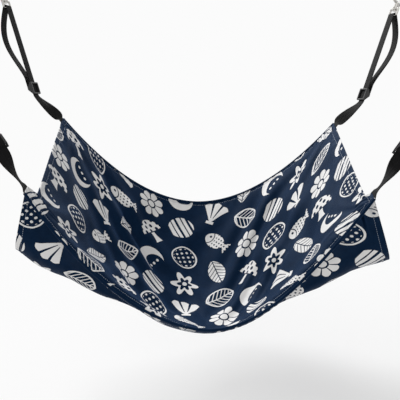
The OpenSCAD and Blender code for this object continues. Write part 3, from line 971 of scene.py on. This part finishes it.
@dataclass
class Strap:
    """One corner's webbing, slider and snap hook.

    The strap's own frame has Z up the strap through the slider, X across the webbing and Y through it. A left strap
    is worked out mirrored to the right.
    """

    end: End
    side: Side
    sling: Sling
    tack_inset: float = 0.011
    flex_out: float = 0.0046
    web_t: float = 0.0014
    anchor_len: float = 0.013
    lead_bend: float = 0.008
    lead_gap: float = 0.001
    turn_early: float = 0.38
    slider_h: float = 0.022
    slider_bar_r: float = 0.0015
    loop_bow: float = 0.019
    bow_peak: float = 0.58
    fold_len: float = 0.020
    fold_join: float = 0.009
    raw_end: float = 0.002
    eye_r: float = 0.0018
    wrap_clear: float = 0.0003
    web_clear: float = 0.0004
    fold_clear: float = 0.0002
    join_gap: float = 0.0003
    hook_reach: float = 0.0326
    box_side: float = 0.0025
    box_low: float = 0.001
    box_high: float = 0.003
    stitching: Stitching = Stitching(0.0024, 0.7, 0.0007)

    def __post_init__(self) -> None:
        """Works out the strap's own frame from the sewn corner, the slider's place and the hanging point."""
        seat, way, roll, self.lead_turn = map(np.array, HANGS[self.end])
        self.label = f"{self.end.name.lower()}_{self.side.name.lower()}"
        self.flip = np.array([float(self.side.value), 1.0, 1.0])
        inset = self.tack_inset / (2.0 * self.sling.half_depth)
        u, v = np.array(float(self.side.value)), np.array(inset if self.end is End.FRONT else 1.0 - inset)
        normal = self.sling.normals(u, v) * self.flip
        middle = self.sling.dipped(u, v) * self.flip - self.sling.seam_gap / 2.0 * normal
        outwards = unit(way - (way @ normal) * normal)
        flex = middle + self.flex_out * outwards
        slider = flex + way
        run = seat - slider
        self.lead_len = float(np.linalg.norm(way))
        self.lead_end = self.lead_len - self.slider_h / 2.0 - self.lead_gap
        self.bar_z = self.lead_len + float(np.linalg.norm(run)) - self.hook_reach
        lean, heading = math.atan2(math.hypot(run[0], run[1]), run[2]), math.atan2(run[1], run[0])
        turn = Matrix.Rotation(heading, 3, "Z") @ Matrix.Rotation(lean, 3, "Y")
        self.turn = np.array(turn @ Matrix.Rotation(math.radians(roll), 3, "Z"))
        self.origin = slider - self.lead_len * self.turn[:, 2]
        hinge = -self.end.value * unit(np.cross(normal, way))
        self.sewn_way, self.lead_way, self.sewn_across = (a @ self.turn for a in (outwards, unit(way), hinge))
        self.start = (flex - self.origin) @ self.turn
        self.wrap_mid = self.eye_r + self.wrap_clear + self.web_t / 2.0
        self.centre_bar_y = self.web_t * 1.5 + self.web_clear + self.fold_clear + self.slider_bar_r
        self.fold_mid = self.slider_bar_r + self.fold_clear + self.web_t / 2.0

    def place(self, local: Array) -> Array:
        """Carries points from the strap's frame into the model's frame."""
        return (local @ self.turn.T + self.origin) * self.flip

    def aim(self, local: Array) -> Array:
        """Carries directions from the strap's frame into the model's frame."""
        return (local @ self.turn.T) * self.flip

    def ribbon(self, name: str, middle: Array, across: Array = ACROSS) -> Piece:
        """Lays webbing along stations given in the strap's frame, square to its path.

        Args:
            name: The piece's name, without the corner.
            middle: The band's middle line.
            across: Directions over its width, or one for all.

        Returns:
            The piece.
        """
        across = np.broadcast_to(across, middle.shape)
        through = unit(np.cross(headings(middle), across))
        section = flat_section(self.sling.web_w, self.web_t)
        if self.side is Side.LEFT:
            section = section[::-1]
        return sweep(f"{name}_{self.label}", self.place(middle), self.aim(across), self.aim(through), section)

    def lead(self) -> tuple[Array, Array]:
        """The stretch from the sewn-in end to below the slider.

        It is a straight end in the cloth and then a Bezier curve that bends into the strap below the slider. The
        band stays square to its path and turns from the cloth's plane to the slider's, with a further turn that comes
        and goes as a squared sine.

        Returns:
            The middle line and the directions across the band.
        """
        t = np.linspace(0.0, 1.0, 60)[1:, None]
        last = self.lead_end * UP
        holds = [self.start, (self.start + last) / 2.0, last - self.lead_bend * UP, last]
        shares = [(1.0 - t) ** 3, 3.0 * t * (1.0 - t) ** 2, 3.0 * t**2 * (1.0 - t), t**3]
        curve = sum(share * hold for share, hold in zip(shares, holds))
        sewn = self.start - np.linspace(self.anchor_len + self.flex_out, 0.001, 14)[:, None] * self.sewn_way
        middle = np.concatenate([sewn, curve])
        along = headings(middle)
        t = np.concatenate([np.zeros((len(sewn), 1)), t])
        share = smooth_step(t)
        across = self.sewn_across * (1.0 - share) + ACROSS * share
        square = unit(across - np.sum(across * along, axis=1, keepdims=True) * along)
        turn = np.radians(self.lead_turn) * np.sin(np.pi * t**self.turn_early) ** 2
        return middle, np.cos(turn) * square + np.sin(turn) * np.cross(along, square)

    def running(self) -> Piece:
        """The webbing from its sewn-in end, turning up to the slider, straight to the eye and round its bar."""
        lead, lead_across = self.lead()
        straight = stacked(0.0, 0.0, np.linspace(self.lead_end, self.bar_z, 40)[1:])
        a = np.linspace(0.0, np.pi, 25)[1:]
        bend = stacked(0.0, self.wrap_mid * (1.0 - np.cos(a)), self.bar_z + self.wrap_mid * np.sin(a))
        upper = np.concatenate([straight, bend])
        across = np.concatenate([lead_across, np.tile(ACROSS, (len(upper), 1))])
        return self.ribbon("strap", np.concatenate([lead, upper]), across)

    def returning(self) -> Piece:
        """The strand from the eye back down to the folded end, bowed away from the running strand."""
        t = np.linspace(1.0, 0.0, 60)
        y = (self.centre_bar_y + self.fold_mid) * (1.0 - t) + 2.0 * self.wrap_mid * t
        y = y + self.loop_bow * skewed_sine(t, self.bow_peak)
        low = self.lead_len + self.fold_len + self.join_gap
        return self.ribbon("return", stacked(0.0, y, low + (self.bar_z - low) * t))

    def folded(self) -> Piece:
        """The end folded round the slider's centre bar, with both plies brought together and sewn."""
        rise = np.linspace(0.0, 1.0, 14)
        a = np.linspace(0.0, np.pi, 25)[1:-1]
        far, near = self.centre_bar_y + self.fold_mid, self.centre_bar_y - self.fold_mid
        inner = far - self.web_t
        y = [np.full(14, far), self.centre_bar_y + self.fold_mid * np.cos(a)]
        z = [(self.fold_len + self.join_gap) * (1.0 - rise), -self.fold_mid * np.sin(a)]
        y += [near + (inner - near) * smooth_step(rise), np.full(8, inner)]
        z += [self.fold_join * rise, np.linspace(self.fold_join, self.fold_len - self.raw_end, 9)[1:]]
        return self.ribbon("folded_end", stacked(0.0, np.concatenate(y), self.lead_len + np.concatenate(z)))

    def tacks(self) -> Piece:
        """The box of stitches through both plies of the folded end, seen on its outer face."""
        face = self.centre_bar_y + self.fold_mid + self.web_t / 2.0
        low, high = self.fold_join + self.box_low, self.fold_len - self.box_high
        w = self.sling.web_w / 2.0 - self.box_side
        corners = np.array([(-w, low), (w, low), (w, high), (-w, high), (-w, low), (w, high)])
        corners = self.place(stacked(corners[:, 0], face, self.lead_len + corners[:, 1]))
        t = np.linspace(0.0, 1.0, 24)[:, None]
        up = np.tile(self.aim(np.array([0.0, 1.0, 0.0])), (len(t), 1))
        lines = [(start * (1.0 - t) + stop * t, up) for start, stop in zip(corners, corners[1:])]
        return self.stitching.sew(f"box_stitch_{self.label}", lines)

    def build(self, wardrobe: Wardrobe) -> None:
        """Makes and dresses this corner's webbing and gives its hardware its finishes."""
        up = self.aim(self.lead_way)
        strap = self.running()
        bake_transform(strap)
        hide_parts(f"anchor_{self.label}", f"strap_{self.label}")
        returning = self.returning()
        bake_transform(returning)
        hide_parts(f"return_{self.label}")
        folded, tacks = self.folded(), self.tacks()
        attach(folded, f"slider_{self.label}")
        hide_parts(f"fold_{self.label}")
        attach(tacks, f"slider_{self.label}")
        for piece in (strap, returning, folded, tacks):
            dress(piece, wardrobe["black_thread" if piece is tacks else "webbing"])
        for kind, finish in HARDWARE.items():
            dress(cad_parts[f"{kind}_{self.label}"], wardrobe[finish])


# The studio


@dataclass
class Studio:
    """The camera at the photograph's viewpoint, a pale floor and soft light.

    Angles are in degrees. A lamp has a place, a size and a power in watts.
    """

    lens: float = 61.1
    sensor: float = 36.0
    position: tuple = (-0.0162, -1.0331, 0.2012)
    pitch: float = 25.98
    yaw: float = 1.05
    roll: float = -1.39
    floor_z: float = -0.59
    floor_reach: float = 14.0
    floor_colour: float = 0.86
    floor_seen: float = 0.965
    shadow_middle: tuple = (0.27, -0.15)
    shadow_reach: float = 0.45
    shadow_share: float = 0.50
    sky_light: float = 0.43
    sky_seen: float = 0.55
    aim: tuple = (0.0, 0.0, -0.35)
    key: tuple = ((-0.95, 1.75, 1.15), 0.6, 68.0)
    fill: tuple = ((0.5, -1.7, 0.7), 1.4, 9.0)

    @staticmethod
    def hang(data: bpy.types.ID, place: tuple, turn: Matrix) -> Piece:
        """Links a camera or a lamp to the scene.

        Args:
            data: The camera or lamp.
            place: Where it stands.
            turn: Its turn from looking straight down.

        Returns:
            The new object.
        """
        thing = bpy.data.objects.new(data.name, data)
        thing.matrix_world = Matrix.Translation(place) @ turn.to_4x4()
        bpy.context.scene.collection.objects.link(thing)
        return thing

    def camera(self) -> None:
        """Sets the camera up from its pitch below level, its yaw to the right and its roll."""
        data = bpy.data.cameras.new("view")
        data.sensor_width = self.sensor
        data.sensor_fit = "HORIZONTAL"
        data.lens = self.lens
        data.clip_end = 60.0
        turns = ((-self.yaw, "Z"), (90.0 - self.pitch, "X"), (-self.roll, "Z"))
        turn = reduce(operator.matmul, (Matrix.Rotation(math.radians(a), 3, axis) for a, axis in turns))
        bpy.context.scene.camera = self.hang(data, self.position, turn)

    def floor(self) -> None:
        """Lays a wide pale floor that shows near white to the camera and still takes the shadow."""
        corners = np.array([[-1.0, -1.0], [1.0, -1.0], [1.0, 1.0], [-1.0, 1.0]]) * self.floor_reach
        floor = make_piece("floor", stacked(corners[:, 0], corners[:, 1], self.floor_z), [[0, 1, 2, 3]])
        material, tree, shader = new_material("pale_floor")
        feed(shader, {"Base Color": (self.floor_colour,) * 3, "Roughness": 0.9, "Specular IOR Level": 0.1})
        light = add_node(tree, "ShaderNodeEmission", {"Color": (self.floor_seen,) * 3})
        far = coordinates(tree, surface=False).radius(*self.shadow_middle) / self.shadow_reach
        near = (far * far * -1.0).math("EXPONENT")
        share = self.seen(tree) * (near * -self.shadow_share + 1.0)
        mix = add_node(tree, "ShaderNodeMixShader", {0: share, 1: shader.outputs[0], 2: light.outputs[0]})
        feed(tree.nodes["Material Output"], {"Surface": mix.outputs[0]})
        dress(floor, material)

    @staticmethod
    def seen(tree: Tree) -> Field:
        """Gives 1 for rays from the camera, reflections and transmission, else 0."""
        path = tree.nodes.new("ShaderNodeLightPath")
        rays = (path.outputs[f"Is {kind} Ray"] for kind in ("Camera", "Glossy", "Transmission"))
        return reduce(operator.or_, map(Field, rays))

    def sky(self) -> None:
        """Fills the world with even light, and shows it white where it is seen."""
        world = bpy.data.worlds.new("studio")
        bpy.context.scene.world = world
        world.use_nodes = True
        level = self.seen(world.node_tree) * self.sky_seen + self.sky_light
        feed(world.node_tree.nodes["Background"], {"Color": (1.0, 1.0, 1.0), "Strength": level})

    def lamp(self, name: str, place: tuple, size: float, power: float) -> None:
        """Hangs a square soft light that faces the hammock.

        Args:
            name: The lamp's name.
            place: Where it hangs.
            size: Side of the square.
            power: Its power.
        """
        data = bpy.data.lights.new(name, "AREA")
        data.shape = "SQUARE"
        data.size = size
        data.energy = power
        away = Vector(place) - Vector(self.aim)
        self.hang(data, place, away.to_track_quat("Z", "Y").to_matrix())

    def build(self) -> None:
        """Sets up the camera, the floor, the sky and the lamps."""
        bpy.context.scene.view_settings.view_transform = "Standard"
        self.camera()
        self.floor()
        self.sky()
        self.lamp("key", *self.key)
        self.lamp("fill", *self.fill)


def main() -> None:
    """Builds the studio, the sling and the four straps in order."""
    logging.basicConfig(level=logging.INFO, format="%(name)s: %(message)s")
    Studio().build()
    wardrobe = {key: finish.build() for key, finish in FINISHES.items()}
    sling = Sling()
    sling.build(wardrobe)
    for end in End:
        for side in Side:
            Strap(end, side, sling).build(wardrobe)


if __name__ == "__main__":
    main()
